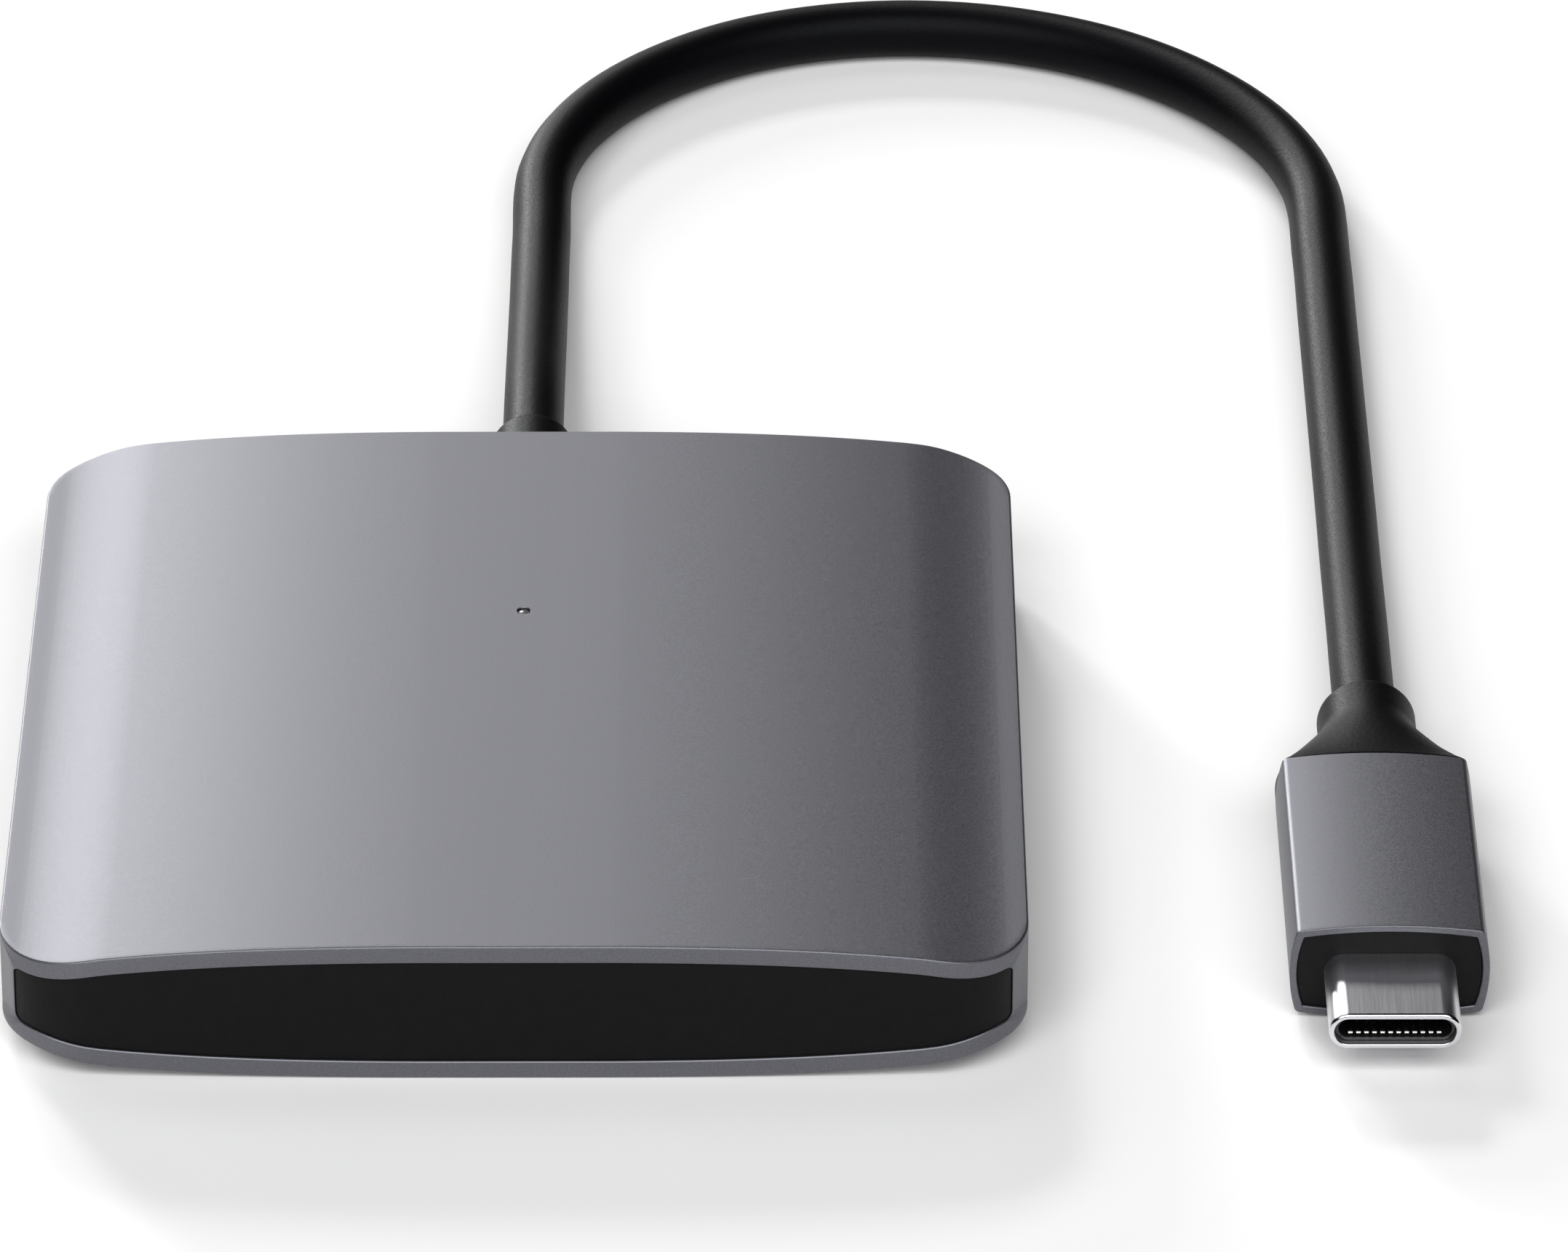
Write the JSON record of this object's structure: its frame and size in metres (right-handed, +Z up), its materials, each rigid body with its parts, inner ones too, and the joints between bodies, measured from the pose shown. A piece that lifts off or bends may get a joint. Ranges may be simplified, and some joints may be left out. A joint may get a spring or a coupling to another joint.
{
  "type": "usb hub",
  "caption": "Flat lens-section USB-C hub in a grey aluminium sleeve, with blank black ends, side sockets, and a fixed round cable that loops back to an aluminium-cased USB-C plug.",
  "frame": {"origin": "middle of the underside of the hub's body, on the flat strip that it rests on", "axes": "+X to the hub's right side, where the cable's loop and plug lie; +Y to the rear, where the cable leaves; +Z up"},
  "size_m": [0.0929, 0.1406, 0.0096],
  "materials": {
    "sleeve_aluminium": "bead-blasted and anodised grey, satin",
    "black_plastic": "fine matte moulded black",
    "tray_plastic": "moulded dark grey",
    "cable_jacket": "satin black jacket with a fine grain",
    "circuit_board": "green solder mask",
    "chip_resin": "moulded black resin",
    "bright_steel": "bright plated steel",
    "contact_gold": "gold plate",
    "clear_lens": "clear moulded lens",
    "silicone_pad": "soft grey silicone",
    "ferrite": "sintered ferrite",
    "capacitor_resin": "moulded ochre resin",
    "red_insulation": "red wire insulation",
    "white_insulation": "white wire insulation"
  },
  "bodies": {
    "root": {"board_screw_1": "bright_steel", "board_screw_2": "bright_steel", "board_screw_3": "bright_steel", "board_screw_4": "bright_steel", "bulk_capacitor_left": "capacitor_resin", "bulk_capacitor_right": "capacitor_resin", "cable": "cable_jacket", "cable_clamp": "tray_plastic", "cable_crimp_ring": "bright_steel", "cable_gland": "cable_jacket", "cable_tail": "cable_jacket", "clamp_screw_1": "bright_steel", "clamp_screw_2": "bright_steel", "clock_crystal": "bright_steel", "config_memory_chip": "chip_resin", "data_lead_1": "white_insulation", "data_lead_2": "white_insulation", "esd_array_left_front": "chip_resin", "esd_array_left_rear": "chip_resin", "esd_array_right_front": "chip_resin", "esd_array_right_rear": "chip_resin", "front_cover": "black_plastic", "ground_lead": "cable_jacket", "housing_sleeve": "sleeve_aluminium", "hub_controller_chip": "chip_resin", "inner_tray": "tray_plastic", "led_light_pipe": "clear_lens", "main_board": "circuit_board", "plug_board": "circuit_board", "plug_cable_tail": "cable_jacket", "plug_contact_carrier": "tray_plastic", "plug_contacts_lower": "contact_gold", "plug_contacts_upper": "contact_gold", "plug_crimp_ferrule": "bright_steel", "plug_inner_body": "black_plastic", "plug_latch_spring": "bright_steel", "plug_marker_chip": "chip_resin", "plug_shell": "bright_steel", "plug_sleeve": "sleeve_aluminium", "plug_strain_relief": "cable_jacket", "port_shell_left_front": "bright_steel", "port_shell_left_rear": "bright_steel", "port_shell_right_front": "bright_steel", "port_shell_right_rear": "bright_steel", "port_tongue_left_front": "tray_plastic", "port_tongue_left_rear": "tray_plastic", "port_tongue_right_front": "tray_plastic", "port_tongue_right_rear": "tray_plastic", "power_inductor": "ferrite", "power_lead": "red_insulation", "power_regulator_chip": "chip_resin", "rear_cover": "black_plastic", "status_led": "clear_lens", "thermal_pad": "silicone_pad"}
  },
  "joints": []
}
